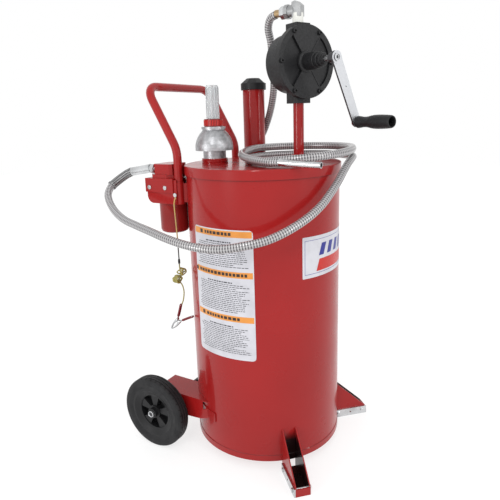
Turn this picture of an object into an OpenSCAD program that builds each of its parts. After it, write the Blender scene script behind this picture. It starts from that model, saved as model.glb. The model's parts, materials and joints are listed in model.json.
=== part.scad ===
// Mobile oil dispenser: a round upright tank on two wheels and two feet, with a hand-cranked gear pump,
// a spin-on filter, a level gauge and a coiled delivery hose. Millimetres, Z up, standing on Z = 0.

/* [Tank] */
// Outside diameter of the tank shell
tank_d = 406; // [300:1:600]
// Height of the flat top above the floor
tank_top = 787; // [500:1:1000]
// Gap between the floor and the tank bottom
floor_gap = 28; // [15:1:60]
// Thickness of the tank steel
tank_wall_t = 2; // [1:0.5:4]

/* [Pump] */
// Height of the crank shaft above the floor
shaft_z = 1030; // [950:1:1100]
// Distance from the crank shaft to the grip
crank_r = 160; // [100:0.1:200]
// Outside diameter of the riser and suction pipes
riser_d = 26.7; // [21:0.1:34]
// Number of teeth on each pump gear
gear_teeth = 12; // [10:1:16]
// Module of the pump gears
gear_module = 3.25; // [2.5:0.05:3.25]

/* [Hose] */
// Outside diameter of both hoses
hose_d = 20; // [16:1:24]

/* [Running gear] */
// Wheel diameter over the tread
wheel_d = 203.2; // [150:0.1:260]
// Tyre width
wheel_w = 40; // [30:1:50]
// Distance between the outer faces of the wheels
track_w = 484; // [440:1:560]
// Axle diameter
axle_d = 12.7; // [10:0.1:20]

/* [Handle] */
// Outside diameter of the handle tube
handle_d = 22.2; // [19:0.1:28]
// How far the handle leans back from upright, in degrees
handle_lean = 29.5; // [0:0.5:45]

/* [Hidden] */
$fn = 64;
tank_r = tank_d / 2;
// The tank axis stands behind the centre of the whole footprint, because the crank reaches forward.
axis_y = 7.9;
riser = [15, -100];
gauge = [-50, 118];
filler = [90, 75];
filler_r = 30.15;
riser_r = riser_d / 2;
hose_r = hose_d / 2;
pump_turn = -115;
gear_r = gear_module * gear_teeth / 2;
gear_tip = gear_r + 0.9 * gear_module;
gear_gap = 2 * gear_r + 0.1;
shaft_r = 6.35;
handle_r = handle_d / 2;
handle_x = 139;
handle_y = 174;
filter_x = -111;
filter_y = 219;
axle_y = 238;
axle_z = wheel_d / 2;
coil_r = 136;
leg_end = 309;
leg_w = 39;

// Routes of the hoses and of the ground wire, through the middle of each.
pump_hose_route = [[20.5, -37, 1149], [27, -18, 1143], [38, -5, 1122], [55, -3, 1088], [76, 6, 1040],
  [98, 14, 985], [118, 36, 925], [136, 68, 868], [150, 98, 832], [176, 130, 806], [192, 156, 772],
  [190, 190, 732], [165, 222, 705], [120, 243, 690], [70, 250, 690], [25, 246, 708], [-8, 236, 742],
  [-28, 229, 764], [-46, 228, 770]];
delivery_route = [[-190, 367, 732], [-216, 356, 714], [-236, 332, 696], [-256, 294, 677],
  [-272, 248, 662], [-284, 195, 653], [-293, 145, 645], [-299, 90, 634], [-300, 35, 625],
  [-294, -15, 620], [-282, -58, 621], [-262, -100, 628], [-234, -138, 637], [-198, -170, 653],
  [-150, -198, 676], [-105, -214, 700], [-62, -222, 727], [-30, -226, 748], [-5, -228, 767],
  [22, -230, 787]];
guard_route = [[-143, 333, 767], [-151, 348, 759], [-167, 361, 746], [-190, 367, 732]];
wire_top_route = [[-160, 171, 708], [-161, 176, 690], [-154, 181, 655], [-150, 182, 600], [-150, 181, 516]];
wire_low_route = [[-150, 181, 466], [-146, 175, 446], [-148, 177, 420], [-154, 180, 404]];

// ---- helpers ----
module placed() translate([0, axis_y, 0]) children();
module at(p) placed() translate([p[0], p[1], 0]) children();
// Pump frame: Z along the crank shaft, X down, Y to the side.
module at_pump() placed() translate([riser[0], riser[1], shaft_z]) rotate([0, 0, pump_turn])
  rotate([0, 90, 0]) children();
module tube(r_out, r_in, z0, z1) translate([0, 0, z0]) difference() {
  cylinder(r = r_out, h = z1 - z0);
  translate([0, 0, -1]) cylinder(r = r_in, h = z1 - z0 + 2);
}
module rod(r, z0, z1) translate([0, 0, z0]) cylinder(r = r, h = z1 - z0);
module hex(across, z0, z1) translate([0, 0, z0]) cylinder(r = across / 2 / cos(30), h = z1 - z0, $fn = 6);

// Smooth curve through the route points, then a tube swept along it.
function blend(a, b, c, d, t) = 0.5 * (2 * b + (c - a) * t + (2 * a - 5 * b + 4 * c - d) * t * t
  + (3 * b - a - 3 * c + d) * t * t * t);
function pick(r, i) = r[max(0, min(len(r) - 1, i))];
function curve(r, n) = concat([for (i = [0:len(r) - 2], k = [0:n - 1])
  blend(pick(r, i - 1), r[i], r[i + 1], pick(r, i + 2), k / n)], [r[len(r) - 1]]);
function unit(v) = v / norm(v);
function heading(c, i) = unit(pick(c, i + 1) - pick(c, i - 1));
function sides(c, s, i = 0) = i == len(c) ? [] : let (h = heading(c, i), n = unit(s - h * (s * h)))
  concat([n], sides(c, n, i + 1));
module cord(route, r, n, m) {
  c = curve(route, n);
  s = sides(c, [0.3, 0.1, 1]);
  rings = [for (i = [0:len(c) - 1], k = [0:m - 1]) let (h = heading(c, i), w = cross(h, s[i]))
    c[i] + r * (cos(360 * k / m) * s[i] + sin(360 * k / m) * w)];
  last = (len(c) - 1) * m;
  polyhedron(points = rings, faces = concat(
    [[for (k = [0:m - 1]) k]],
    [[for (k = [m - 1:-1:0]) last + k]],
    [for (i = [0:len(c) - 2], k = [0:m - 1]) let (j = (k + 1) % m)
      [i * m + j, i * m + k, (i + 1) * m + k, (i + 1) * m + j]]));
}

// ---- tank ----
module tank_space() placed() {
  rod(tank_r, floor_gap + 17, tank_top);
  rod(tank_r + 1.5, floor_gap, floor_gap + 17);
}
module tank_wall() color("#c8141c") placed()
  tube(tank_r, tank_r - tank_wall_t, floor_gap + 18, tank_top - 2.5);
module tank_top_plate() color("#c8141c") placed() difference() {
  rotate_extrude($fn = 128) polygon([[0, tank_top - 2.5], [tank_r, tank_top - 2.5],
    [tank_r, tank_top - 24.5], [tank_r + 4, tank_top - 24.5], [tank_r + 4, tank_top - 3],
    [tank_r + 3.4, tank_top - 1.4], [tank_r + 2, tank_top - 0.3], [tank_r, tank_top], [0, tank_top]]);
  translate([gauge[0], gauge[1], 0]) rod(filler_r, tank_top - 5, tank_top + 1);
  translate([filler[0], filler[1], 0]) rod(filler_r, tank_top - 5, tank_top + 1);
  translate([riser[0], riser[1], 0]) rod(riser_r, tank_top - 5, tank_top + 1);
}
module tank_bottom() color("#c8141c") placed() rotate_extrude($fn = 128)
  polygon([[0, floor_gap + 8], [tank_r - tank_wall_t, floor_gap + 8], [tank_r - tank_wall_t, floor_gap],
    [tank_r + 1.5, floor_gap], [tank_r + 1.5, floor_gap + 16], [tank_r, floor_gap + 18],
    [tank_r - tank_wall_t - 2, floor_gap + 18], [tank_r - tank_wall_t - 2, floor_gap + 11],
    [0, floor_gap + 11]]);
module tank_bungs() color("#c8141c") {
  at(gauge) rotate_extrude() polygon([[filler_r, 787], [35, 787], [35, 790], [33.8, 791], [35, 792],
    [35, 796], [33.8, 797], [34.6, 798], [34, 800], [filler_r, 800]]);
  at(riser) tube(20, riser_r, tank_top, tank_top + 20);
  at(filler) tube(33.5, filler_r, tank_top, tank_top + 4);
}

// ---- level gauge and vent ----
module gauge_nipple() color("#b4b7ba") at(gauge) tube(filler_r, 26, tank_top - 2.5, 821);
module vent_dome() color("#b4b7ba") at(gauge) rotate_extrude() polygon([[26, 821], [50.5, 821],
  [50.5, 829], [49.6, 838], [47.2, 847], [43, 856], [37.5, 864], [32.5, 869.5], [29.5, 873],
  [29.5, 876], [32, 876], [32, 882], [18, 882], [18, 872], [26, 862]]);
module gauge_nut() color("#d22027") at(gauge) difference() {
  union() {
    rod(24.2, 882, 902);
    for (i = [0:35]) rotate(i * 10) translate([24, -1, 884.5]) cube([1.3, 2, 15]);
  }
  rod(17.4, 881, 903);
}
module gauge_tube() color("#e8eef0") at(gauge) difference() {
  union() {
    rod(17.4, 884, 983);
    translate([0, 0, 983]) cylinder(r1 = 17.4, r2 = 15, h = 4);
  }
  rod(15, 883, 981);
}
module float_rod() color("#c9ccd0") at(gauge) {
  rod(2, 640, 893);
  rod(11, 893, 900);
}
module gauge_float() color("#26282b") at(gauge) difference() {
  rod(20, 590, 650);
  rod(2, 640, 651);
}

// ---- filler ----
module filler_pipe() color("#c8141c") at(filler) tube(filler_r, 26.3, tank_top - 2.5, 992.5);
module filler_cap() color("#232323") at(filler) difference() {
  union() {
    rotate_extrude() polygon([[0, 977], [34.2, 977], [35, 978], [35, 994], [34.4, 995], [0, 995]]);
    translate([0, 0, 995]) cylinder(r1 = 34.2, r2 = 18.5, h = 13, $fn = 8);
  }
  rod(filler_r + 0.35, 976, 993);
}

// ---- suction side ----
module suction_pipe() color("#9aa0a4") at(riser) tube(riser_r, 10.45, 62, tank_top + 10);
module suction_strainer() color("#8f9396") at(riser) difference() {
  union() {
    rod(24, 48, 84);
    rod(18, 84, 96);
  }
  rod(riser_r, 62, 97);
  rod(18, 51, 62);
  for (i = [0:11]) rotate(i * 30) translate([10, -1.5, 53]) cube([20, 3, 7]);
}
module riser_pipe() color("#c8141c") at(riser) tube(riser_r, 10.45, tank_top + 10, 955);

// ---- gear pump ----
module port(x0, x1, r) translate([x0, 0, 0]) rotate([0, 90, 0]) cylinder(r = r, h = x1 - x0);
module pump_body() color("#1d1e20") at_pump() difference() {
  union() {
    rod(71, -38.6, 18);
    rod(86, 18, 25);
    translate([-91, -21, -21]) cube([50, 42, 42]);
    translate([50, -21, -21]) cube([46, 42, 42]);
  }
  rod(gear_tip + 0.4, -20, 26);
  translate([0, gear_gap, 0]) rod(gear_tip + 0.4, -20, 26);
  for (x = [-19, 19]) translate([x, gear_gap / 2, 0]) rod(12, -20, 26);
  for (y = [0, gear_gap]) translate([0, y, 0]) rod(11, -32, -19);
  port(-85, -12, 10.45);
  port(12, 90, 10.45);
  port(-92, -76, riser_r);
  port(75, 102, riser_r);
  for (i = [0:5]) rotate(30 + i * 60) translate([78, 0, 0]) rod(2.6, 14, 26);
}
module pump_cover() color("#1d1e20") at_pump() difference() {
  union() {
    difference() {
      rod(86, 25, 34);
      for (a = [35, 215]) rotate(a) rotate_extrude(angle = 110) translate([27, 29.5]) square([45, 6]);
    }
    for (a = [35, 145, 215, 325]) rotate(a) translate([25, -1.5, 30]) cube([46, 3, 5.2]);
    rod(20, 33, 60);
    rotate_extrude() polygon([[19, 33], [26, 33], [25, 35.5], [21.5, 37.5], [19, 38]]);
  }
  rod(9.5, 24, 48);
  rod(13, 48, 61);
  for (i = [0:5]) rotate(30 + i * 60) translate([78, 0, 0]) rod(2.6, 24, 35);
}
module cover_bolts() color("#161616") at_pump() for (i = [0:5]) rotate(30 + i * 60)
  translate([78, 0, 0]) difference() {
    union() {
      rod(2.6, 15, 34);
      rod(5.4, 34, 38.6);
      rotate_extrude($fn = 32) polygon([[0, 38.6], [5.4, 38.6], [4.6, 39.8], [0, 39.8]]);
    }
    hex(5, 36.5, 41);
  }
// One gear: involute flanks from the base circle out to the tip.
function involute(r, base) = r <= base ? 0 : tan(acos(base / r)) * 180 / PI - acos(base / r);
module gear(z0, z1) {
  base = gear_r * cos(20);
  root = gear_r - 1.15 * gear_module;
  half = 90 / gear_teeth - 0.32 / gear_r * 180 / PI + tan(20) * 180 / PI - 20;
  steps = 5;
  rise = [for (k = [0:steps]) base + (gear_tip - base) * k / steps];
  outline = [for (i = [0:gear_teeth - 1]) let (a = i * 360 / gear_teeth) each concat(
    [root * [cos(a - half), sin(a - half)]],
    [for (r = rise) r * [cos(a - half + involute(r, base)), sin(a - half + involute(r, base))]],
    [for (k = [steps:-1:0]) let (r = rise[k]) r * [cos(a + half - involute(r, base)),
      sin(a + half - involute(r, base))]],
    [root * [cos(a + half), sin(a + half)]])];
  translate([0, 0, z0]) linear_extrude(z1 - z0) polygon(outline);
}
module drive_gear() color("#a8adb2") at_pump() difference() {
  gear(-19.6, 24.6);
  rod(8, -21, 26);
}
module idler_gear() color("#a8adb2") at_pump() translate([0, gear_gap, 0]) {
  rotate(180 / gear_teeth) gear(-19.6, 24.6);
  rod(8, -31, -19);
}
module pump_shaft() color("#c4c8cc") at_pump() difference() {
  union() {
    rod(8, -31, 24.8);
    rod(shaft_r, 24.8, 139.4);
  }
  rod(3.4, 131, 141);
}
module shaft_bushes() color("#b08d57") at_pump() {
  for (y = [0, gear_gap]) translate([0, y, 0]) tube(11, 8.06, -32, -20);
  tube(9.5, shaft_r + 0.06, 25, 47);
}
module shaft_packing() color("#3a3a3a") at_pump() tube(13, shaft_r + 0.08, 48, 57);
module gland_nut() color("#1d1e20") at_pump() rotate_extrude() polygon([[shaft_r + 0.08, 57], [13, 57],
  [13, 60], [19.7, 60], [19.7, 72], [18.8, 73.5], [16.4, 74], [16.4, 76], [17.8, 77], [17.8, 83], [16.8, 84],
  [14.2, 84.5], [14.2, 86.5], [15.2, 87.5], [15.2, 92], [14.4, 93], [11.9, 93.5], [11.4, 98],
  [shaft_r + 0.08, 98]]);

// ---- crank ----
module crank_frame() at_pump() rotate(25) children();
module crank_arm() color("#b9bcc0") crank_frame() difference() {
  union() {
    rod(11.5, 118, 131);
    rod(14.5, 130.5, 138.2);
    rod(8.8, 138, 140.5);
    translate([crank_r, 0, 0]) rod(11.8, 132.5, 137.5);
    translate([0, 0, 132.5]) linear_extrude(5)
      polygon([[0, -14], [crank_r, -11.8], [crank_r, 11.8], [0, 14]]);
  }
  rod(shaft_r, 117, 141);
  translate([crank_r, 0, 0]) rod(5, 131, 139);
  translate([70, 0, 0]) rod(1.6, 136, 139);
}
module grip_spindle() color("#b9bcc0") crank_frame() translate([crank_r, 0, 0]) {
  rod(5, 132.5, 206.5);
  rod(8, 206.5, 210);
  rod(8, 137.5, 139.8);
  rod(9, 127.5, 132.5);
}
module crank_grip() color("#232323") crank_frame() translate([crank_r, 0, 0]) rotate_extrude()
  polygon([[5.06, 140.4], [12.5, 140.4], [14, 142], [14, 145], [13.3, 151], [12.2, 158], [12, 166],
    [12.8, 175], [14.6, 184], [15.8, 194], [16.1, 205], [15.9, 217], [15.3, 230], [14.4, 241],
    [13.4, 244], [11.4, 244], [10.8, 242.5], [10.6, 205], [5.06, 205]]);

// ---- pump outlet ----
outlet_turn = 85;
outlet_z = 1151;
module at_outlet() at(riser) translate([0, 0, outlet_z]) rotate([0, 90, outlet_turn]) children();
module outlet_nipple() color("#dfe1df") at(riser) tube(riser_r, 10.45, 1106, 1145);
module outlet_elbow() color("#b4b7b9") difference() {
  union() {
    at(riser) rotate(outlet_turn) intersection() {
      block([-12.5, -12.5], [12.5, 12.5], 3.5, 1137, 1173);
      rotate([90, 0, 0]) translate([0, 0, -15]) linear_extrude(30)
        polygon([[-13, 1136], [13, 1136], [13, 1169], [1, 1172], [-13, 1161]]);
    }
    at_outlet() rod(14.6, 6, 27);
    at_outlet() translate([0, 0, 23]) rotate(22.5) cylinder(r = 17.2, h = 10.5, $fn = 8);
  }
  at(riser) rod(riser_r, 1135, 1145);
  at(riser) rod(10.45, 1144, 1156);
  at_outlet() rod(10.45, 0, 36);
}
module hose_nut() color("#c9ccce") at_outlet() difference() {
  union() {
    rod(10.45, 22, 35);
    hex(27, 33.5, 46);
  }
  rod(6, 21, 47);
}
module hose_tail() color("#b9964c") at_outlet() tube(9.2, 6, 46, 63.2);

// ---- hoses ----
module pump_hose() color("#c4c4c4") placed() cord(pump_hose_route, hose_r, 1, 10);
module delivery_hose() color("#c4c4c4") placed() cord(delivery_route, hose_r, 1, 10);
// The outer shape of the hose lying in turns on the tank top.
module delivery_coil() color("#c4c4c4") at(riser) tube(coil_r + 13, coil_r - 14, tank_top, tank_top + 44);
module at_spout() placed() translate([-139, -124, 800]) rotate([92, 0, 0]) children();
module spout_ferrule() color("#c2c5c8") at_spout() tube(8.4, 5.5, -2, 26);
module hose_spout() color("#c9ccd0") at_spout() tube(7.5, 5.5, 26, 105);

// ---- filter ----
// A block with cut corners, from one corner of its plan to the other.
module block(p, q, cut, z0, z1) translate([0, 0, z0]) linear_extrude(z1 - z0) polygon([
  [p[0] + cut, p[1]], [q[0] - cut, p[1]], [q[0], p[1] + cut], [q[0], q[1] - cut],
  [q[0] - cut, q[1]], [p[0] + cut, q[1]], [p[0], q[1] - cut], [p[0], p[1] + cut]]);
module filter_head() color("#c8141c") placed() difference() {
  union() {
    block([-153, 188], [-74, 267], 16, 753, 763);
    block([-150, 190], [-78, 252], 7, 762, 790);
    translate([filter_x, 228, 770]) rotate([0, 90, 0]) cylinder(r = 13.5, h = 43);
  }
  translate([-138, 229, 777]) rotate([-90, 0, 0]) cylinder(r = 7, h = 50);
  translate([filter_x + 8, 228, 770]) rotate([0, 90, 0]) cylinder(r = 7, h = 40);
  translate([filter_x, filter_y, 0]) rod(9, 752, 765);
  rod(210.5, 740, 800);
}
module filter_inlet() color("#b9964c") placed() translate([-68, 228, 770]) rotate([0, 90, 0]) difference() {
  union() {
    rod(7, -10, 0);
    hex(24, 0, 12);
    rod(10.2, 12, 22);
  }
  rod(4.5, -11, 23);
}
module filter_bracket() color("#c8141c") placed() difference() {
  union() {
    translate([-155, 170, 686]) cube([3, 81, 64]);
    translate([-155, 251, 706]) cube([3, 20, 44]);
    translate([-155, 251, 706]) rotate([0, 90, 0]) cylinder(r = 20, h = 3);
    translate([-158, 180, 716]) cube([3, 94, 37]);
    translate([-156, 180, 750]) cube([80, 94, 3]);
  }
  rod(210.5, 600, 800);
  translate([-handle_x, handle_y, 0]) rod(handle_r + 0.5, 745, 760);
  translate([filter_x, filter_y, 0]) rod(9, 745, 760);
  translate([-165, handle_y, 711.5]) rotate([0, 90, 0]) cylinder(r = 3, h = 20);
  for (y = [206, 259]) translate([-160, y, 729]) rotate([0, 90, 0]) cylinder(r = 3, h = 10);
}
module filter_screws() color("#c9ccce") placed() for (y = [206, 259])
  translate([-165, y, 729]) rotate([0, 90, 0]) {
    difference() {
      rotate_extrude($fn = 32) polygon([[0, 3.2], [3.5, 3.2], [5.6, 4.6], [6, 7], [0, 7]]);
      translate([-5, -0.7, 2]) cube([10, 1.4, 2.6]);
    }
    rod(3, 6.5, 16);
  }
module filter_canister() color("#a8141c") at([filter_x, filter_y]) {
  difference() {
    rotate_extrude() polygon([[0, 604], [31, 604], [36, 607], [38.5, 613], [38.5, 744], [37.3, 746],
      [37.3, 750], [0, 750]]);
    rod(36, 609, 747);
    rod(9, 746, 751);
  }
  tube(9, 5, 740, 764);
}
module filter_element() color("#d8c48a") at([filter_x, filter_y]) tube(32, 10, 613, 739);
module outlet_adapter() color("#b9964c") placed() translate([-138, 252, 777]) rotate([-90, 0, 0])
  difference() {
  union() {
    rod(7, -12, 0);
    hex(23, 0, 12);
    rod(9, 12, 16);
  }
  rod(4.5, -13, 17);
}
module hose_ferrule() color("#c2c5c8") placed() translate([-138, 268, 777]) rotate([-99, 0, 4.2])
  tube(11.8, 6.5, 0, 66);
module spring_guard() color("#b9bcc0") placed() cord(guard_route, 12.4, 4, 14);

// ---- handle ----
// Middle line of the handle tube: up from each socket, back at the lower bend, round into the crossbar.
function leaned(x, d) = [x, handle_y + d * sin(handle_lean), 828 + d * cos(handle_lean)];
function handle_half(g) = let (bend = 80, top = 161 / cos(handle_lean) - 40) concat(
  [[g * handle_x, handle_y, 690]],
  [for (i = [0:4]) let (t = i * handle_lean / 4) [g * handle_x, handle_y + bend * (1 - cos(t)),
    828 - bend * tan(handle_lean / 2) + bend * sin(t)]],
  [for (t = [0:10:90]) leaned(g * (handle_x - 40 + 40 * cos(t)), top + 40 * sin(t))]);
handle_line = let (h = handle_half(1)) concat(handle_half(-1), [for (i = [len(h) - 1:-1:0]) h[i]]);
module handle_pin_holes() placed() for (s = [-1, 1]) translate([s * handle_x - 22, handle_y, 711.5])
  rotate([0, 90, 0]) cylinder(r = 3, h = 44);
module handle_tube() color("#c8141c") difference() {
  placed() cord(handle_line, handle_r, 1, 20);
  handle_pin_holes();
}
module handle_sockets() color("#c8141c") difference() {
  placed() for (s = [-1, 1]) {
    translate([s * handle_x, handle_y, 0]) tube(13, handle_r, 686, 744);
    difference() {
      rotate(90 - s * atan2(handle_x, handle_y)) translate([195, -6, 690]) cube([20, 12, 50]);
      translate([s * handle_x, handle_y, 0]) rod(handle_r, 680, 750);
    }
  }
  tank_space();
  handle_pin_holes();
}
module frame_bolts() color("#c9ccce") {
  placed() for (s = [-1, 1]) translate([s * handle_x, handle_y, 711.5]) rotate([0, s * 90, 0]) {
    rod(3, -18, s > 0 ? 14 : 17);
    hex(10, s > 0 ? 13 : 16, s > 0 ? 17 : 20);
    hex(10, -18, -13);
  }
  placed() for (a = [-135, -45]) rotate(a) {
    for (x = [218.6, 295]) translate([x, 0, 11.5]) rotate([90, 0, 0]) {
      rod(3.2, x < 250 ? leg_w / 2 - 9 : -leg_w / 2 - 6, leg_w / 2 + 5);
      hex(10, leg_w / 2 + 4, leg_w / 2 + 6.5);
      hex(10, x < 250 ? leg_w / 2 - 7.5 : -leg_w / 2 - 4.5, x < 250 ? leg_w / 2 - 3 : -leg_w / 2);
    }
  }
}

// ---- wheels ----
module axle_brackets() color("#c8141c") difference() {
  placed() for (s = [0, 1]) mirror([s, 0, 0]) {
    translate([-188, 70, 150]) cube([78, 188, 3]);
    translate([-188, 0, 0]) rotate([90, 0, 90]) linear_extrude(3)
      polygon([[60, 108], [76, 107], [108, 95], [212, 87], [258, 87], [258, 152], [250, 153], [99, 153],
        [99, 126], [76, 133], [60, 134]]);
    translate([0, 0, 108]) rotate(143) rotate_extrude(angle = 23, $fn = 128)
      translate([tank_r, 0]) square([3, 26]);
  }
  tank_space();
  placed() translate([-200, axle_y, axle_z]) rotate([0, 90, 0]) cylinder(r = axle_d / 2, h = 400);
}
module axle() color("#a9adb1") placed() translate([-245.5, axle_y, axle_z]) rotate([0, 90, 0])
  cylinder(r = axle_d / 2, h = 491);
module axle_caps() color("#d5d8da") placed() for (s = [0, 1]) mirror([s, 0, 0])
  translate([-track_w / 2 - 0.3, axle_y, axle_z]) rotate([0, -90, 0]) difference() {
    rotate_extrude() polygon([[0, 0], [9.8, 0], [9.8, 1.2], [9.2, 4.4], [8.4, 5.6], [7.4, 5.6],
      [6.8, 4.4], [0, 4.4]]);
    rod(axle_d / 2, -1, 5);
  }
module at_wheel(s) placed() translate([s * (track_w - wheel_w) / 2, axle_y, axle_z]) rotate([0, s * 90, 0])
  children();
module tyre(s) color("#1b1b1c") at_wheel(s) difference() {
  rotate_extrude($fn = 96) polygon([[73, -17], [84, -20], [93, -20], [98.5, -18], [101, -14],
    [101.6, -10], [101.6, 10], [101, 14], [98.5, 18], [93, 20], [84, 20], [73, 17]]);
  for (z = [-9, 0, 9]) tube(103, 99.4, z - 1, z + 1);
  for (i = [0:35]) rotate(i * 10) translate([99.6, -1.2, 11]) cube([4, 2.4, 10]);
  for (i = [0:35]) rotate(i * 10) translate([99.6, -1.2, -21]) cube([4, 2.4, 10]);
}
module rim(s) color("#2a2a2c") at_wheel(s) difference() {
  union() {
    rotate_extrude($fn = 96) polygon([[49, -14], [66, -17], [73, -17], [73, 17], [67, 17], [55, 11],
      [49, 9]]);
    rod(50, -13, -10);
    rod(14, -32, 20);
    rod(19, -11, 9.5);
    for (i = [0:4]) rotate(68 + i * 72) translate([0, 0, -11]) linear_extrude(18)
      polygon([[12, -4], [51, -15], [51, 15], [12, 4]]);
  }
  rod(axle_d / 2 + 0.08, -33, 21);
}
module tyre_left() tyre(-1);
module tyre_right() tyre(1);
module rim_left() rim(-1);
module rim_right() rim(1);

// ---- feet ----
module leg_bolt_holes() for (x = [218.6, 295]) translate([x, x < 250 ? 0 : 40, 11.5]) rotate([90, 0, 0])
  cylinder(r = 3.2, h = 80);
module legs() color("#c8141c") difference() {
  placed() for (a = [-135, -45]) rotate(a) difference() {
    union() {
      translate([200.5, -leg_w / 2, 0]) cube([leg_end - 200.5, leg_w, 3]);
      translate([leg_end - 3, -leg_w / 2, 0]) cube([3, leg_w, 21]);
      for (y = [-leg_w / 2, leg_w / 2 - 3]) translate([0, y + 3, 0]) rotate([90, 0, 0])
        linear_extrude(3) polygon([[200.5, 0], [leg_end, 0], [leg_end, 21], [302, 28], [203, 119],
          [200.5, 119]]);
    }
    leg_bolt_holes();
  }
  tank_space();
}
module foot_bars() color("#bdc0c3") placed() for (a = [-135, -45]) rotate(a) difference() {
  translate([207, -leg_w / 2 - 4, 0]) cube([leg_end - 207, 4, 23]);
  leg_bolt_holes();
  translate([256, -leg_w / 2 + 1, 11.5]) rotate([90, 0, 0]) cylinder(r = 2.6, h = 8);
}

// ---- ground wire and clip ----
module ground_wire() color("#d8b52a") placed() {
  cord(wire_top_route, 2, 2, 8);
  cord(wire_low_route, 2, 2, 8);
  translate([-150, 192, 489]) rotate([90, 0, 0]) linear_extrude(22) union() {
    for (z = [-11, 11]) translate([0, z]) circle(r = 16);
    translate([-16, -11]) square([32, 22]);
  }
}
module at_clip() placed() translate([-157, 191.5, 358]) rotate([0, 41, -81]) children();
module clip_half(width) {
  translate([4, -width / 2, -8]) cube([2.5, width, 16]);
  translate([4, 0, 5]) rotate([0, 22, 0]) translate([0, -5.5, 0]) cube([2, 11, 44]);
  translate([4.6, 0, -7]) rotate([0, 10, 0]) translate([0, -5, -25]) cube([2, 10, 26]);
  for (y = [-width / 2, width / 2 - 1.4]) translate([-2.5, y, -4]) cube([7.5, 1.4, 8]);
}
module clip_pin(r) translate([0, 7.6, 0]) rotate([90, 0, 0]) cylinder(r = r, h = 15.2);
module clip_jaw() color("#b9bcc0") at_clip() {
  mirror([1, 0, 0]) clip_half(15.2);
  clip_pin(1.5);
}
module clip_lever() color("#b9bcc0") at_clip() difference() {
  clip_half(12);
  clip_pin(1.56);
}

tank_wall();
tank_top_plate();
tank_bottom();
tank_bungs();
gauge_nipple();
vent_dome();
gauge_nut();
gauge_tube();
float_rod();
gauge_float();
filler_pipe();
filler_cap();
riser_pipe();
suction_pipe();
suction_strainer();
pump_body();
pump_cover();
cover_bolts();
drive_gear();
idler_gear();
pump_shaft();
shaft_bushes();
shaft_packing();
gland_nut();
crank_arm();
grip_spindle();
crank_grip();
outlet_nipple();
outlet_elbow();
hose_nut();
hose_tail();
pump_hose();
filter_inlet();
filter_head();
filter_bracket();
filter_screws();
filter_canister();
filter_element();
outlet_adapter();
hose_ferrule();
spring_guard();
delivery_hose();
delivery_coil();
spout_ferrule();
hose_spout();
handle_tube();
handle_sockets();
frame_bolts();
axle_brackets();
axle();
tyre_left();
tyre_right();
rim_left();
rim_right();
axle_caps();
legs();
foot_bars();
ground_wire();
clip_jaw();
clip_lever();
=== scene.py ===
"""Looks of the wheeled oil tank with its crank pump, filter, gauge and hoses. Metres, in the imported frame."""
import json
import math
import random

import bpy
from mathutils import Matrix, Vector


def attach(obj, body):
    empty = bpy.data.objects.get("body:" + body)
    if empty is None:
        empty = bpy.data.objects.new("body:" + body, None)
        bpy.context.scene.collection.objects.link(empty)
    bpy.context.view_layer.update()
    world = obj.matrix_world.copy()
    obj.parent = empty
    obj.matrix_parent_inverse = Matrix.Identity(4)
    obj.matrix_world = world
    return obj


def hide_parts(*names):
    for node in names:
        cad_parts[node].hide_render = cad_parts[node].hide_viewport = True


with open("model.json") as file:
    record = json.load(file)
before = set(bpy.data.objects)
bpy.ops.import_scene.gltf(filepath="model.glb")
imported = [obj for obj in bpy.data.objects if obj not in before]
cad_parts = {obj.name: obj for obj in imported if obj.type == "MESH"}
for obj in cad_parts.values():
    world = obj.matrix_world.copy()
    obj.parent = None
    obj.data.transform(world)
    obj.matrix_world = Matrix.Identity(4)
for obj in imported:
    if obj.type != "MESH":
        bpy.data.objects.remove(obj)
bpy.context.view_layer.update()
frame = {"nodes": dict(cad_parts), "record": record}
N = frame["nodes"]
AY = 0.0079  # the tank axis lies this far behind the frame's origin
TANK_R = 0.203  # outside radius of the tank wall
SHAFT_DIR = Vector((-0.422618, -0.906308, 0.0))  # the pump shaft points 25 degrees off straight ahead


def at(x, y, z):
    """A point given in millimetres from the tank axis."""
    return Vector((x / 1000, y / 1000 + AY, z / 1000))


RISER = at(15, -100, 0)  # the foot of the pump's riser
GAUGE = at(-50, 118, 0)  # the foot of the level gauge


# ---------------------------------------------------------------- camera
def make_camera():
    """A three-quarter view from the left and a little above."""
    data = bpy.data.cameras.new("camera")
    cam = bpy.data.objects.new("camera", data)
    bpy.context.collection.objects.link(cam)
    yaw, pitch, roll = math.radians(31.21), math.radians(13.45), math.radians(-1.66)
    ahead = Vector((math.cos(yaw) * math.cos(pitch), math.sin(yaw) * math.cos(pitch), -math.sin(pitch)))
    right = Vector((math.sin(yaw), -math.cos(yaw), 0))
    up = right.cross(ahead)
    r = right * math.cos(roll) + up * math.sin(roll)
    u = up * math.cos(roll) - right * math.sin(roll)
    turn = Matrix((r, u, -ahead)).transposed()
    cam.matrix_world = Matrix.Translation((-1.1743, -0.6746 + AY, 0.9027)) @ turn.to_4x4()
    data.lens = 36.41
    data.sensor_width = 36
    data.shift_x = -0.0054
    data.shift_y = -0.0231
    data.clip_start = 0.05
    bpy.context.scene.camera = cam


make_camera()


# ---------------------------------------------------------------- small mesh tools
def add(name, verts, faces, smooth=True, uv=None):
    """A mesh object. uv(face, corner, vert) gives a corner's place on the UV map."""
    mesh = bpy.data.meshes.new(name)
    mesh.from_pydata([tuple(v) for v in verts], [], faces)
    if uv:
        layer = mesh.uv_layers.new(name="uv")
        for poly in mesh.polygons:
            for k, li in zip(range(len(poly.vertices)), poly.loop_indices):
                layer.data[li].uv = uv(poly.index, k, poly.vertices[k])
    if smooth:
        mesh.polygons.foreach_set("use_smooth", [True] * len(mesh.polygons))
    mesh.update()
    obj = bpy.data.objects.new(name, mesh)
    bpy.context.collection.objects.link(obj)
    return obj


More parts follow.
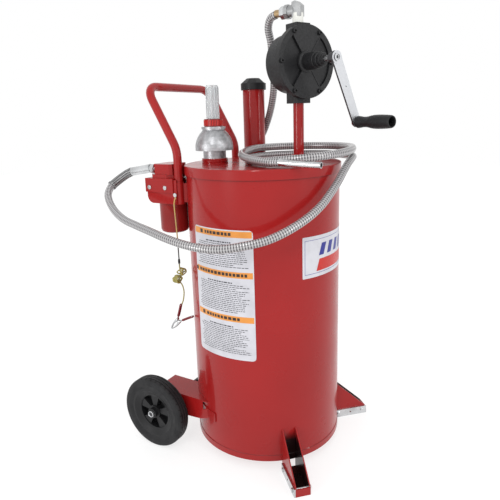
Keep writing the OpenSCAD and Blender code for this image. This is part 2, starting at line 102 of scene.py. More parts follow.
def circle(count):
    """The angles of count points round a circle."""
    return [2 * math.pi * k / count for k in range(count)]


def bands(rings, count, first=0):
    """Quads that join each ring of count points to the next one, from ring number first."""
    quads = []
    for i in range(first, first + rings - 1):
        for k in range(count):
            j = (k + 1) % count
            quads.append((i * count + k, i * count + j, (i + 1) * count + j, (i + 1) * count + k))
    return quads


def end_faces(rings, count):
    """The faces that close the first ring and the last."""
    return [tuple(reversed(range(count))), tuple((rings - 1) * count + k for k in range(count))]


def spline(points, step):
    """Even points, about step apart, along a smooth curve through the given ones."""
    parts = 12  # fine steps between two given points
    fine = []
    n = len(points)
    for i in range(n - 1):
        a, b = points[max(i - 1, 0)], points[i]
        c, d = points[i + 1], points[min(i + 2, n - 1)]
        for k in range(parts):
            t = k / parts
            fine.append(0.5 * (2 * b + (c - a) * t + (2 * a - 5 * b + 4 * c - d) * t * t
                               + (3 * b - a - 3 * c + d) * t ** 3))
    fine.append(points[-1])
    total = length_of(fine)
    count = max(2, round(total / step))
    out, want, done, i = [fine[0]], total / count, 0.0, 0
    for k in range(1, count):
        while done + (fine[i + 1] - fine[i]).length < k * want:
            done += (fine[i + 1] - fine[i]).length
            i += 1
        part = (k * want - done) / (fine[i + 1] - fine[i]).length
        out.append(fine[i].lerp(fine[i + 1], part))
    out.append(fine[-1])
    return out


def length_of(path):
    return sum((q - p).length for p, q in zip(path, path[1:]))


def tube(name, path, radius, sides=20, shape=None):
    """A tube along a path with its length and turn as UV. shape(distance) gives the radius there."""
    verts, dist = [], []
    side = Vector((0.3, 0.1, 1.0))
    run = 0.0
    for i, p in enumerate(path):
        if i:
            run += (p - path[i - 1]).length
        ahead = (path[min(i + 1, len(path) - 1)] - path[max(i - 1, 0)]).normalized()
        side = (side - ahead * side.dot(ahead)).normalized()
        other = ahead.cross(side)
        r = shape(run) if shape else radius
        for a in circle(sides):
            verts.append(p + (side * math.cos(a) + other * math.sin(a)) * r)
        dist.append(run)
    wall = bands(len(path), sides)

    def uv(face, corner, vert):
        ring, k = divmod(vert, sides)
        closes = face < len(wall) and k == 0 and face % sides == sides - 1
        return dist[ring], 1.0 if closes else k / sides
    return add(name, verts, wall + end_faces(len(path), sides), uv=uv)


def lathe(name, profile, place, sides=64):
    """Turns a profile of (radius, height) round the place matrix's Z axis."""
    verts = [place @ Vector((r * math.cos(a), r * math.sin(a), z)) for r, z in profile for a in circle(sides)]
    return add(name, verts, bands(len(profile), sides))


# ---------------------------------------------------------------- materials
def value(node, name, v):
    """Sets a node's input."""
    node.inputs[name].default_value = v


class Look:
    """A Principled material with short helpers for its procedural nodes."""

    def __init__(self, name, color, rough=0.4, metal=0.0, coat=0.0, coat_rough=0.03, spec=0.5,
                 transmission=0.0, ior=1.45, alpha=1.0):
        self.mat = bpy.data.materials.new(name)
        self.mat.use_nodes = True
        self.t = self.mat.node_tree
        self.b = self.t.nodes["Principled BSDF"]
        value(self.b, "Base Color", (*color, 1))
        value(self.b, "Roughness", rough)
        value(self.b, "Metallic", metal)
        value(self.b, "Coat Weight", coat)
        value(self.b, "Coat Roughness", coat_rough)
        value(self.b, "Specular IOR Level", spec)
        value(self.b, "Transmission Weight", transmission)
        value(self.b, "IOR", ior)
        value(self.b, "Alpha", alpha)
        self.color = color
        self.coords = self.t.nodes.new("ShaderNodeTexCoord")

    def node(self, kind, **settings):
        n = self.t.nodes.new(kind)
        for k, v in settings.items():
            setattr(n, k, v)
        return n

    def link(self, a, b):
        self.t.links.new(a, b)

    def noise(self, scale, detail=3.0, rough=0.5, stretch=None):
        """Noise from 0 to 1 over the object, stretched along its axes if asked."""
        n = self.node("ShaderNodeTexNoise")
        value(n, "Scale", scale)
        value(n, "Detail", detail)
        value(n, "Roughness", rough)
        source = self.coords.outputs["Object"]
        if stretch:
            m = self.node("ShaderNodeMapping")
            m.inputs["Scale"].default_value = stretch
            self.link(source, m.inputs["Vector"])
            source = m.outputs["Vector"]
        self.link(source, n.inputs["Vector"])
        return n.outputs["Fac"]

    def span(self, source, lo, hi, a=0.0, b=1.0):
        """a to b as source goes from lo to hi."""
        n = self.node("ShaderNodeMapRange")
        for k, v in (("From Min", lo), ("From Max", hi), ("To Min", a), ("To Max", b)):
            value(n, k, v)
        self.link(source, n.inputs["Value"])
        return n.outputs["Result"]

    def math(self, op, a, b=None, c=None):
        """A sum on numbers and other nodes' outputs."""
        n = self.node("ShaderNodeMath", operation=op)
        for i, v in enumerate((a, b, c)):
            if v is None:
                continue
            if isinstance(v, (int, float)):
                n.inputs[i].default_value = v
            else:
                self.link(v, n.inputs[i])
        return n.outputs[0]

    def place(self):
        """X, Y and Z of the surface point, with X and Y from the tank axis."""
        c = self.node("ShaderNodeSeparateXYZ")
        self.link(self.coords.outputs["Object"], c.inputs[0])
        return c.outputs["X"], self.math("SUBTRACT", c.outputs["Y"], AY), c.outputs["Z"]

    def hypot(self, x, y):
        """The length of (x, y)."""
        return self.math("SQRT", self.math("ADD", self.math("POWER", x, 2.0), self.math("POWER", y, 2.0)))

    def rough(self, source, lo, hi, a, b):
        """Roughness from a to b as source goes from lo to hi."""
        self.link(self.span(source, lo, hi, a, b), self.b.inputs["Roughness"])
        return self

    def tint(self, source, lo, hi, dark):
        """Mixes the base colour towards dark where source is low."""
        n = self.node("ShaderNodeMix", data_type="RGBA")
        n.inputs[6].default_value = (*dark, 1)
        n.inputs[7].default_value = (*self.color, 1)
        self.link(self.span(source, lo, hi), n.inputs[0])
        self.link(n.outputs[2], self.b.inputs["Base Color"])
        return self

    def cover(self, amount, color):
        """Mixes a colour over the base colour, which is already tinted, by amount."""
        n = self.node("ShaderNodeMix", data_type="RGBA")
        self.link(self.b.inputs["Base Color"].links[0].from_socket, n.inputs[6])
        n.inputs[7].default_value = (*color, 1)
        self.link(amount, n.inputs[0])
        self.link(n.outputs[2], self.b.inputs["Base Color"])
        return self

    def bump(self, source, strength, distance):
        """Raises the surface where source is high."""
        n = self.node("ShaderNodeBump")
        value(n, "Strength", strength)
        value(n, "Distance", distance)
        self.link(source, n.inputs["Height"])
        self.link(n.outputs["Normal"], self.b.inputs["Normal"])
        return self


def channel_shade_mask(k):
    """Painted shade: 1 on the faces inside the two foot channels, which are darkened to stand in for the shade
    inside them.
    """
    half_width, inner_end, outer_end = 0.01665, 0.19, 0.3065  # of the channels, out along the diagonals
    fade_from, fade_to = 0.085, 0.108  # heights
    x, y, z = k.place()
    far = k.math("MULTIPLY", k.math("ADD", k.math("ABSOLUTE", x), k.math("ABSOLUTE", y)), math.sqrt(0.5))
    side = k.math("MINIMUM", k.math("ABSOLUTE", k.math("ADD", x, y)),
                  k.math("ABSOLUTE", k.math("SUBTRACT", x, y)))
    side = k.math("MULTIPLY", side, math.sqrt(0.5))
    inside = k.math("MULTIPLY", k.math("LESS_THAN", side, half_width), k.math("LESS_THAN", far, outer_end))
    inside = k.math("MULTIPLY", inside, k.math("LESS_THAN", y, 0.0))
    inside = k.math("MULTIPLY", inside, k.math("GREATER_THAN", far, inner_end))
    return k.math("MULTIPLY", inside, k.span(z, fade_from, fade_to, 1.0, 0.0))


def seam_shade_mask(k):
    """Painted shade: 1 in the two seams round the tank, under the top rim and above the bottom one, where a
    dark line of shade is painted.
    """
    top_seam, low_seam = (0.7616, 0.0011), (0.0445, 0.0009)  # height and half width
    x, y, z = k.place()
    far = k.hypot(x, y)
    top = k.math("COMPARE", z, *top_seam)
    low = k.math("COMPARE", z, *low_seam)
    ring = k.math("MULTIPLY", k.math("GREATER_THAN", far, TANK_R - 0.0015),
                  k.math("LESS_THAN", far, TANK_R + 0.0045))
    return k.math("MULTIPLY", ring, k.math("MAXIMUM", top, low))


def paint(name="red_enamel", color=(0.30, 0.0085, 0.0085), rough=0.3):
    """Sprayed red enamel: faint uneven depth of colour, orange peel, painted shade inside the foot channels and
    along the seams, and small scuffs.
    """
    k = Look(name, color, rough=rough, coat=0.38, coat_rough=0.03, spec=0.15)
    k.rough(k.noise(11, 3), 0.35, 0.7, rough - 0.05, rough + 0.06)
    k.tint(k.noise(4.5, 3), 0.25, 0.65, tuple(c * 0.86 for c in color))
    # painted shade: near-black inside the foot channels, and at 0.4 strength along the two seams
    k.cover(k.math("MAXIMUM", channel_shade_mask(k), k.math("MULTIPLY", seam_shade_mask(k), 0.4)), (0.017, 0.006, 0.006))
    spots = k.math("MULTIPLY", k.span(k.noise(150, 2), 0.70, 0.74), k.span(k.noise(7, 2), 0.52, 0.6))
    k.cover(k.math("MULTIPLY", spots, 0.5), (0.16, 0.010, 0.010))
    return k.bump(k.noise(420, 2), 0.05, 0.00012)


def cast_black():
    """Satin enamel over a sand casting, with painted shade darkening the floors of the cover's recesses."""
    floor_depth = 0.0295  # from the riser's axis, along the shaft
    k = Look("pump_enamel", (0.0165, 0.0165, 0.0180), rough=0.4, spec=0.36)
    grain = k.noise(330, 5, 0.65)
    k.rough(grain, 0.3, 0.7, 0.30, 0.52)
    k.tint(k.noise(220, 4, 0.6), 0.35, 0.6, (0.0075, 0.0075, 0.008))
    along = k.node("ShaderNodeVectorMath", operation="DOT_PRODUCT")
    k.link(k.coords.outputs["Object"], along.inputs[0])
    along.inputs[1].default_value = SHAFT_DIR
    # painted shade: the recess floors, found by their depth along the shaft, are darkened
    floor = k.math("COMPARE", along.outputs["Value"], SHAFT_DIR.dot(RISER) + floor_depth, 0.0006)
    k.cover(k.math("MULTIPLY", floor, 0.75), (0.006, 0.006, 0.007))
    return k.bump(grain, 0.5, 0.0011)


def zinc(name, color, rough):
    """Plated steel: fine drawn lines, a cloudy bloom and a few dull patches."""
    k = Look(name, color, rough=rough, metal=1.0)
    lines = k.noise(180, 3, 0.6, stretch=(1.0, 1.0, 7.0))
    k.rough(lines, 0.3, 0.7, rough - 0.07, rough + 0.09)
    k.tint(k.noise(28, 3), 0.3, 0.62, tuple(c * 0.72 for c in color))
    return k.bump(lines, 0.05, 0.00008)


def cast_metal(name, color, rough):
    """Sand-cast aluminium with a dull, mottled skin."""
    k = Look(name, color, rough=rough, metal=1.0)
    skin = k.noise(240, 4, 0.6)
    k.rough(skin, 0.3, 0.7, rough - 0.08, rough + 0.12)
    k.tint(k.noise(95, 4, 0.6), 0.36, 0.62, tuple(c * 0.72 for c in color))
    return k.bump(skin, 0.25, 0.0006)


def flat_bar():
    """Bright plated flat bar: its sheared edges are painted darker than its rolled faces, as a painted dark
    reflection.
    """
    k = Look("crank_plate", (0.57, 0.58, 0.60), rough=0.5, metal=1.0)
    facing = k.node("ShaderNodeVectorMath", operation="DOT_PRODUCT")
    k.link(k.coords.outputs["Normal"], facing.inputs[0])
    facing.inputs[1].default_value = SHAFT_DIR
    # painted dark reflection: faces turned across the shaft axis, the edges, are darkened
    k.tint(k.math("ABSOLUTE", facing.outputs["Value"]), 0.45, 0.75, (0.10, 0.10, 0.105))
    return k.rough(k.noise(150, 3, 0.6), 0.3, 0.7, 0.42, 0.58)


def ribbed_nut():
    """A red plastic nut whose grooves are painted darker, as painted shade."""
    k = Look("red_plastic", (0.56, 0.020, 0.014), rough=0.35)
    x, y, z = k.place()
    groove_r, rib_r = 0.0243, 0.0249
    far = k.hypot(k.math("SUBTRACT", x, GAUGE.x), k.math("SUBTRACT", y, GAUGE.y - AY))
    # painted shade: darker inside the rib radius, in the grooves
    k.tint(far, groove_r, rib_r, (0.16, 0.006, 0.005))
    return k.bump(k.noise(350, 3), 0.1, 0.0002)


def milky():
    """Moulded clear plastic, slightly milky, with faint streaks along the tube."""
    k = Look("clear_plastic", (0.80, 0.82, 0.83), rough=0.2, transmission=0.62, ior=1.3)
    streak = k.noise(120, 2, 0.5, stretch=(1.0, 1.0, 0.04))
    k.rough(streak, 0.35, 0.65, 0.12, 0.36)
    return k.tint(streak, 0.35, 0.6, (0.60, 0.62, 0.635))


def plastic(name, color, rough, grain=350, coat=0.0, spec=0.4):
    """Moulded plastic, or a printed film where the grain is coarse."""
    k = Look(name, color, rough=rough, coat=coat, spec=spec)
    k.rough(k.noise(60, 3), 0.3, 0.7, rough - 0.05, rough + 0.08)
    k.tint(k.noise(25, 3), 0.3, 0.6, tuple(c * 0.85 for c in color))
    return k.bump(k.noise(grain, 3), 0.1, 0.0002)


def rubber():
    """Moulded tyre rubber, greyer where it has been scuffed."""
    k = Look("tyre_rubber", (0.0125, 0.0125, 0.0135), rough=0.55, spec=0.25)
    k.rough(k.noise(70, 4), 0.3, 0.7, 0.46, 0.66)
    k.tint(k.noise(38, 4), 0.35, 0.6, (0.019, 0.019, 0.020))
    return k.bump(k.noise(700, 3), 0.2, 0.0002)


def weave_look(name, light, dark, pitch, ends, metal, coat, ribs=0.0):
    """Crossing wires under a clear jacket. pitch is a cell's length, ends the cells round the hose, and
    ribs the spacing of the hoops, if any."""
    k = Look(name, light, rough=0.3, metal=metal, coat=coat, coat_rough=0.1, spec=0.3)
    uv = k.node("ShaderNodeSeparateXYZ")
    k.link(k.coords.outputs["UV"], uv.inputs[0])
    steps = k.math("MULTIPLY", uv.outputs["X"], math.pi / pitch)
    turns = k.math("MULTIPLY", uv.outputs["Y"], math.pi * ends)
    left = k.math("SINE", k.math("ADD", steps, turns))
    right = k.math("SINE", k.math("SUBTRACT", steps, turns))
    weave = k.math("MULTIPLY", left, right)
    if ribs:
        hoop = k.math("SINE", k.math("MULTIPLY", uv.outputs["X"], 2 * math.pi / ribs))
        weave = k.math("ADD", k.math("MULTIPLY", weave, 0.55), k.math("MULTIPLY", hoop, 0.5))
    k.tint(weave, -0.45, 0.4, dark)
    k.link(k.span(weave, -0.4, 0.5, 0.5, 0.24), k.b.inputs["Roughness"])
    return k.bump(weave, 0.3, 0.0006)


def wire_look():
    """A thin clear-jacketed wire: brassy near the bolt, dark further down, olive at the hank and below."""
    k = Look("wire_jacket", (0.42, 0.33, 0.09), rough=0.3, coat=0.6, coat_rough=0.08)
    uv = k.node("ShaderNodeSeparateXYZ")
    k.link(k.coords.outputs["UV"], uv.inputs[0])
    ramp = k.node("ShaderNodeValToRGB")
    k.link(k.span(uv.outputs["X"], 0.0, 0.4), ramp.inputs[0])
    stops = ramp.color_ramp.elements
    stops[0].position, stops[0].color = 0.0, (0.50, 0.33, 0.09, 1)
    stops[1].position, stops[1].color = 0.26, (0.46, 0.31, 0.09, 1)
    for where, color in ((0.32, (0.035, 0.034, 0.03, 1)), (0.44, (0.025, 0.025, 0.024, 1)),
                         (0.50, (0.33, 0.28, 0.06, 1)), (1.0, (0.30, 0.26, 0.06, 1))):
        stops.new(where).color = color
    k.link(ramp.outputs["Color"], k.b.inputs["Base Color"])
    k.rough(k.noise(200, 2), 0.3, 0.7, 0.24, 0.4)
    return k


M = {
    "paint_red": paint(),
    "canister_red": paint("canister_enamel", (0.235, 0.0105, 0.0095), 0.34),
    "pump_black": cast_black(),
    "black_bolt": plastic("black_oxide", (0.010, 0.010, 0.011), 0.38, spec=0.35),
    "zinc": zinc("zinc", (0.66, 0.67, 0.68), 0.24),
    "elbow_zinc": zinc("dull_zinc", (0.44, 0.445, 0.45), 0.32),
    "pipe_steel": zinc("pipe", (0.4, 0.4, 0.41), 0.42),
    "gear_steel": zinc("machined", (0.58, 0.59, 0.6), 0.25),
    "cast_alu": cast_metal("cast_aluminium", (0.47, 0.475, 0.49), 0.42),
    "crank": flat_bar(),
    "axle_end": zinc("axle_end", (0.10, 0.10, 0.105), 0.45),
    "brass": zinc("brass", (0.48, 0.34, 0.19), 0.3),
    "bronze": zinc("bronze", (0.5, 0.32, 0.15), 0.36),
    "tape_white": plastic("thread_tape", (0.72, 0.72, 0.68), 0.5),
    "hose_clear": weave_look("hose_jacket", (0.49, 0.48, 0.485), (0.09, 0.085, 0.09), pitch=0.0062, ends=8,
                             metal=0.35, coat=0.6, ribs=0.0062),
    "guard_weave": weave_look("guard_weave", (0.34, 0.34, 0.34), (0.03, 0.03, 0.033), pitch=0.0045, ends=12,
                              metal=0.5, coat=0.1),
    "packing": plastic("packing", (0.03, 0.03, 0.03), 0.7),
    "tyre": rubber(),
    "plastic_black": plastic("black_plastic", (0.0115, 0.0115, 0.0125), 0.42, spec=0.3),
    "grip_black": plastic("grip_plastic", (0.0115, 0.0115, 0.0125), 0.46, spec=0.3),
    "nut_red": ribbed_nut(),
    "clear": milky(),
    "paper": plastic("paper", (0.6, 0.5, 0.28), 0.8),
    "float": plastic("float", (0.02, 0.02, 0.022), 0.5),
    "wire_clear": wire_look(),
    "clip_red": plastic("clip_sleeve", (0.17, 0.006, 0.012), 0.4, coat=0.3),
    "label_white": plastic("label_white", (0.56, 0.56, 0.60), 0.35, grain=60),
    "label_orange": plastic("label_orange", (0.68, 0.27, 0.055), 0.35, grain=60),
    "label_grey": plastic("label_grey", (0.045, 0.045, 0.055), 0.4, grain=60),
    "label_dark": plastic("label_dark", (0.035, 0.022, 0.018), 0.4, grain=60),
    "label_blue": plastic("label_blue", (0.022, 0.028, 0.24), 0.3, grain=60),
    "label_red": plastic("label_red", (0.48, 0.02, 0.014), 0.3, grain=60),
}


def dress(obj, look):
    """Gives a new piece its one material."""
    obj.data.materials.clear()
    obj.data.materials.append(M[look].mat)
    return obj


SLOTS = {s["node"]: s["material_slot"] for s in frame["record"]["subparts"]}
# CAD nodes whose finish is finer than their slot's.
LOOKS = {"filter_canister": "canister_red", "crank_arm": "crank", "axle": "axle_end"}
for name, obj in N.items():
    for slot in obj.material_slots:
        slot.material = M[LOOKS.get(name, SLOTS[name])].mat

# ---------------------------------------------------------------- hoses and ground wire
# Centrelines in mm from the tank axis: the filter head to the tank top, and the pump to the filter head.
DELIVERY = [(-138, 268, 777), (-140, 300, 772), (-143, 333, 767), (-151, 348, 759), (-167, 361, 746),
            (-190, 367, 732), (-216, 356, 714), (-236, 332, 696), (-256, 294, 677), (-272, 248, 662),
            (-284, 195, 653), (-293, 145, 645), (-299, 90, 634), (-300, 35, 625), (-294, -15, 620),
            (-282, -58, 621), (-262, -100, 628), (-234, -138, 637), (-198, -170, 653), (-150, -198, 676),
            (-105, -214, 700), (-62, -222, 727), (-30, -226, 748), (-5, -228, 767), (24, -230, 786),
            (55, -229, 798)]
PUMP_HOSE = [(20.5, -37, 1149), (27, -18, 1143), (38, -5, 1122), (55, -3, 1088), (76, 6, 1040),
             (98, 14, 985), (118, 36, 925), (136, 68, 868), (150, 98, 832), (176, 130, 806),
             (192, 156, 772), (190, 190, 732), (165, 222, 705), (120, 243, 690), (70, 250, 690),
             (25, 246, 708), (-8, 236, 742), (-28, 229, 764), (-46, 228, 770)]


def coil_points():
    """The turns on the tank top: round once on the top, then again above, and out to the spout."""
    low, high = 799, 821
    out = []
    for turn in range(-60, 541, 10):
        if turn < 150:
            r = 138 - 8 * max(0, turn) / 150
        elif turn < 250:
            r = 130
        elif turn <= 440:
            r = 130 + 10 * min(1, (turn - 250) / 80)
        else:
            r = 140 + 14 * (turn - 440) / 100
        if turn < 160:
            z = low
        elif turn < 300:
            z = low + (high - low) * (turn - 160) / 140
        elif turn < 440:
            z = high
        else:
            z = high - 21 * (turn - 440) / 100
        a = math.radians(turn)
        out.append((15 + r * math.cos(a), -100 + r * math.sin(a), z))
    return out + [(-139, -112, 800), (-139, -124, 800)]


def make_guard():
    """The woven guard sleeve over the hose's first bend, with a rolled ring at its end."""
    path = spline([at(*p) for p in DELIVERY[2:6]], 0.003)
    total = length_of(path)
    sleeve_r, step_r, ring_r = 0.0120, 0.0125, 0.0131

    def radius(d):
        if d > total - 0.003:
            return ring_r
        return sleeve_r if d < total - 0.0045 else step_r
    o = dress(tube("spring_guard_look", path, sleeve_r, sides=36, shape=radius), "guard_weave")
    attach(o, "frame")
    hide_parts("spring_guard")
    return o


HOSE_R = 0.0098


def make_hoses():
    """The delivery hose, whose far end hangs loose, and the short hose, which is held at both ends; each is a
    tube attached to the frame.
    """
    guard = make_guard()
    path = spline([at(*p) for p in DELIVERY + coil_points()], 0.005)
    hose = dress(tube("delivery_hose_look", path, HOSE_R, sides=28), "hose_clear")
    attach(hose, "frame")
    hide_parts("delivery_hose", "delivery_coil")
    round(length_of(path), 2)
    [tuple(p) for p in path]
    path = spline([at(*p) for p in PUMP_HOSE], 0.005)
    hose = dress(tube("pump_hose_look", path, HOSE_R, sides=28), "hose_clear")
    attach(hose, "frame")
    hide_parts("pump_hose")


# The clip's own frame: its pin at the origin, its handles up Z and its two halves at plus and minus X.
CLIP = (Matrix.Translation(at(-157, 191.5, 358)) @ Matrix.Rotation(math.radians(-81), 4, "Z")
        @ Matrix.Rotation(math.radians(41), 4, "Y"))
# Half of the pressed clip, from handle to jaw: (height, inner face, outer face, half width) in mm.
HALF = [(46, 21, 22.8, 4.5), (6, 5.2, 7.2, 5), (3, 1, 8, 6), (0, 0.4, 8.6, 6.4), (-5, 1.2, 8.6, 6),
        (-11, 3.2, 8.4, 5.2), (-18, 3.4, 7.6, 5), (-25, 2.4, 5.8, 4.6), (-31, 0.5, 3.4, 4),
        (-34, 0.3, 1.6, 3.4)]


def loft(name, rings, flip):
    """Joins rings of points, each with the same count, and closes both ends."""
    count = len(rings[0])
    verts = [v for ring in rings for v in ring]
    faces = bands(len(rings), count) + end_faces(len(rings), count)
    if flip:
        faces = [f[::-1] for f in faces]
    return add(name, verts, faces)


def clip_half(name, side, body, node):
    """One pressed half of the clip, with rounded edges, in place of its plain shape."""
    rings = []
    for z, near, far, half in HALF:
        mid, thick = (near + far) / 2, (far - near) / 2
        ring = []
        for a in circle(24):
            c, d = math.cos(a), math.sin(a)
            x = mid + thick * math.copysign(abs(c) ** 0.6, c)
            y = half * math.copysign(abs(d) ** 0.6, d)
            ring.append(CLIP @ (Vector((side * x, y, z)) / 1000))
        rings.append(ring)
    o = dress(loft(name, rings, side > 0), "zinc")
    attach(o, body)
    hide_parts(node)
    return o


def sleeve(name, side, body):
    """The dark red sleeve over one clip handle: a soft flat tube that curls out a little."""
    rings = []
    steps = 14
    for i in range(steps + 1):
        t = i / steps
        z = 13 + 34 * t
        x = 5.2 + 16.7 * (z - 6) / 40 + 1.2 * t * t
        end = math.sqrt(max(0.05, 1 - max(0.0, (t - 0.86) / 0.14) ** 2))
        rings.append([CLIP @ (Vector((side * (x + 0.9 + 3.7 * end * math.cos(a)), 6.2 * end * math.sin(a), z))
                              / 1000) for a in circle(20)])
    o = dress(loft(name, rings, side < 0), "clip_red")
    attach(o, body)
    return o


def make_wire():
    """The ground wire: down from the bolt, a tie, a loose hank in two bunches, and on to the clip."""
    pts = [(-159, 171, 706), (-161, 176, 690), (-154, 181, 655), (-150, 182, 600), (-150, 181, 540),
           (-150, 181, 521)]
    turns = 15
    for k in range(turns):
        a = 2.2 + k * 1.5
        reach = 11.0 + 2.5 * math.sin(k * 2.3)
        pts.append((-146 + reach * math.cos(a), 176 + 7.0 * math.sin(1.3 * a), 501 + 8.5 * math.sin(a)))
    for k in range(2 * turns):
        a = 0.6 + k * 1.4
        reach = 10.5 + 2.0 * math.sin(k * 1.9)
        pts.append((-155 + reach * math.cos(a), 186 + 7.0 * math.sin(1.7 * a), 480 + 10.5 * math.sin(a)))
    pts += [(-149, 181, 468), (-145, 175, 446), (-147, 177, 420), (-154, 180, 403), (-156, 184, 389)]
    path = spline([at(*p) for p in pts], 0.002)
    wire = dress(tube("ground_wire_look", path, 0.0018, sides=10), "wire_clear")
    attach(wire, "frame")
    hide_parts("ground_wire")
    ring = [(0.0019, 0.0), (0.0029, 0.0006), (0.0031, 0.004), (0.0031, 0.009), (0.0029, 0.0122),
            (0.0019, 0.013)]
    tie = dress(lathe("wire_tie", ring, Matrix.Translation(at(-150, 181, 523)), 20), "plastic_black")
    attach(tie, "frame")
    round(length_of(path), 2)
    [tuple(p) for p in path]
    clip_half("clip_jaw_look", -1, "frame", "clip_jaw")
    clip_half("clip_lever_look", 1, "clip", "clip_lever")
    sleeve("sleeve_fixed", -1, "frame")
    sleeve("sleeve_lever", 1, "clip")


make_hoses()
make_wire()


# ---------------------------------------------------------------- labels on the tank
def patch(name, look, a0, a1, z0, z1, lift, corner=0.0, shear=0.0):
    """A thin sheet, lift mm off the tank wall, from angle a0 to a1 (degrees) and height z0 to z1 (mm).
    Its corners are rounded by corner (mm), and its top leans sideways by shear (degrees)."""
    r = TANK_R + lift / 1000
    rows, cols = 24, 36
    verts, faces = [], []
    half = math.radians(a1 - a0) / 2
    for i in range(rows + 1):
        t = i / rows
        if corner:
            t = 0.5 - 0.5 * math.cos(math.pi * t)
        z = z0 + (z1 - z0) * t
        edge = min(z - z0, z1 - z)
        cut = 0.0
        if corner and edge < corner:
            cut = corner - math.sqrt(max(0.0, corner ** 2 - (corner - edge) ** 2))
        cut = cut / (r * 1000)
        slide = math.radians(shear) * (z - z0) / (z1 - z0)
        for j in range(cols + 1):
            a = math.radians((a0 + a1) / 2) + slide + (half - cut) * (2 * j / cols - 1)
            verts.append(Vector((r * math.cos(a), r * math.sin(a) + AY, z / 1000)))
    for i in range(rows):
        for j in range(cols):
            k = i * (cols + 1) + j
            faces.append((k, k + 1, k + cols + 2, k + cols + 1))
    return dress(add(name, verts, faces), look)


def bars(name, look, boxes, lift):
    """Many small sheets (a0, a1, z0, z1) in one piece, measured as patch measures them."""
    r = TANK_R + lift / 1000
    verts, faces = [], []
    for a0, a1, z0, z1 in boxes:
        n = max(1, round(abs(a1 - a0) / 2))
        for j in range(n + 1):
            a = math.radians(a0 + (a1 - a0) * j / n)
            for z in (z0, z1):
                verts.append(Vector((r * math.cos(a), r * math.sin(a) + AY, z / 1000)))
        first = len(verts) - 2 * (n + 1)
        for j in range(n):
            k = first + 2 * j
            faces.append((k, k + 2, k + 3, k + 1))
    return dress(add(name, verts, faces), look)


def make_notice():
    """The tall sheet on the left: three orange bars with dark blocks, and rows of grey dashes below each."""
    rnd = random.Random(7)
    a0, a1 = 151.0, 202.5
    made = [patch("notice_sheet", "label_white", a0, a1, 311, 645, 0.25, corner=9),
            bars("notice_bars", "label_orange", [(a0 + 0.8, a1 - 0.8, z, z + 15.5)
                                                 for z in (626.5, 526, 412)], 0.4)]
    lines = []
    for top, rows in ((612, 13), (511, 16), (397, 15)):
        for k in range(rows):
            z = top - k * 5.0
            left = a0 + 3.5 + rnd.random() * 3
            right = a1 - 3.0 - rnd.random() * (14 if k % 4 == 3 else 5)
            if k == 0:
                left, right = a0 + 14, a1 - 16
            x = left
            while x < right:
                w = 0.8 + rnd.random() * 2.4
                lines.append((x, min(x + w, right), z, z + (3.0 if k == 0 else 1.7)))
                x += w + 0.55
    made.append(bars("notice_lines", "label_grey", lines, 0.4))
    blocks = []
    for z, first, last in ((626.5, 164, 186), (526, 156, 196), (412, 162, 190)):
        x = first
        blocks.append((x - 5, x - 2.2, z + 3, z + 12.5))
        while x < last:
            w = 1.6 + rnd.random() * 1.2
            blocks.append((x, x + w, z + 4, z + 11.5))
            x += w + 0.8
    made.append(bars("notice_blocks", "label_dark", blocks, 0.6))
    return made


def make_badge():
    """The sheet on the front: a thin border, a red band and five blue bars."""
    b0, b1 = -123.5, -56.5
    made = [patch("badge_sheet", "label_white", b0, b1, 516, 620, 0.25, corner=2),
            patch("badge_band", "label_red", b0 + 12, b1 - 5, 530, 560, 0.5, shear=3)]
    edge = [(b0 + 1.8, b1 - 1.8, 610, 611), (b0 + 1.8, b1 - 1.8, 525, 526),
            (b0 + 1.8, b0 + 2.1, 525, 611), (b1 - 2.1, b1 - 1.8, 525, 611)]
    made.append(bars("badge_border", "label_blue", edge, 0.4))
    for k in range(5):
        c = b0 + 14.5 + k * 9
        made.append(patch(f"badge_mark_{k}", "label_blue", c, c + 5.0, 569, 599, 0.5, shear=3))
    return made


for label in make_notice() + make_badge():
    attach(label, "frame")


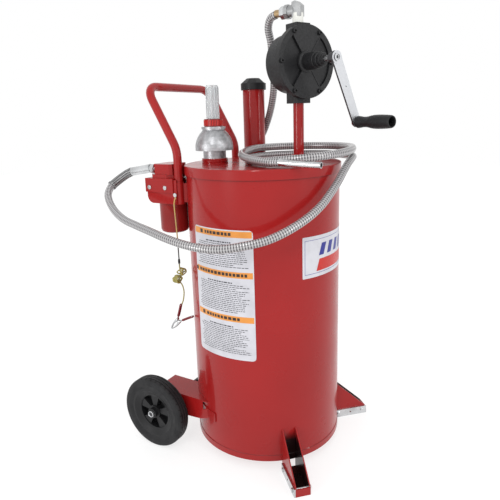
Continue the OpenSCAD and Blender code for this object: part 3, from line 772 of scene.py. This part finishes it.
# ---------------------------------------------------------------- clear gauge tube with flutes
def make_gauge_tube():
    """The clear gauge tube: twelve shallow flutes outside, below the rounded end, and a smooth bore."""
    outside = [(0.0168, 0.884), (0.0168, 0.9795), (0.0162, 0.984), (0.0145, 0.9868), (0.0, 0.987)]
    bore = [(0.0, 0.9815), (0.0142, 0.9815), (0.0148, 0.977), (0.0148, 0.884)]
    sides, flute_depth, flutes_end = 96, 0.0005, 0.983
    verts, faces = [], []
    for shell, depth in ((outside, flute_depth), (bore, 0.0)):
        faces += bands(len(shell), sides, first=len(verts) // sides)
        for r, z in shell:
            for a in circle(sides):
                reach = r + (depth * math.cos(12 * a) if z < flutes_end else 0)
                verts.append(GAUGE + Vector((reach * math.cos(a), reach * math.sin(a), z)))
    o = dress(add("gauge_tube_look", verts, faces), "clear")
    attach(o, "frame")
    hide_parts("gauge_tube")


make_gauge_tube()


# ---------------------------------------------------------------- stage and light
def studio():
    """A white world, a pale floor and four soft area lights."""
    scene = bpy.context.scene
    scene.view_settings.view_transform = "Standard"
    world = bpy.data.worlds.new("studio")
    scene.world = world
    world.use_nodes = True
    back = world.node_tree.nodes["Background"]
    back.inputs["Color"].default_value = (1, 1, 1, 1)
    back.inputs["Strength"].default_value = 1.0
    floor = add("floor", [(-8, -8, 0), (8, -8, 0), (8, 8, 0), (-8, 8, 0)], [(0, 1, 2, 3)], smooth=False)
    k = Look("floor_white", (0.32, 0.32, 0.32), rough=0.7, spec=0.1)
    value(k.b, "Emission Color", (1, 1, 1, 1))
    value(k.b, "Emission Strength", 0.70)
    floor.data.materials.append(k.mat)
    for name, place, aim, size, power in (  # power in watts
            ("key", (-2.6, -0.9, 2.8), (0, 0, 0.8), (0.6, 1.2), 22),
            ("strip", (-2.5, 0.8, 1.0), (0, 0, 0.9), (0.45, 0.8), 14),
            ("edge", (0.0, -2.7, 1.0), (0, 0, 0.9), (0.25, 0.8), 5),
            ("side", (-0.9, -2.9, 2.0), (0, 0, 0.8), (0.4, 1.6), 14)):
        data = bpy.data.lights.new(name, "AREA")
        data.shape = "RECTANGLE"
        data.size, data.size_y = size
        data.energy = power
        light = bpy.data.objects.new(name, data)
        light.location = place
        light.rotation_mode = "QUATERNION"
        light.rotation_quaternion = (Vector(aim) - Vector(place)).to_track_quat("-Z", "Y")
        bpy.context.collection.objects.link(light)


studio()
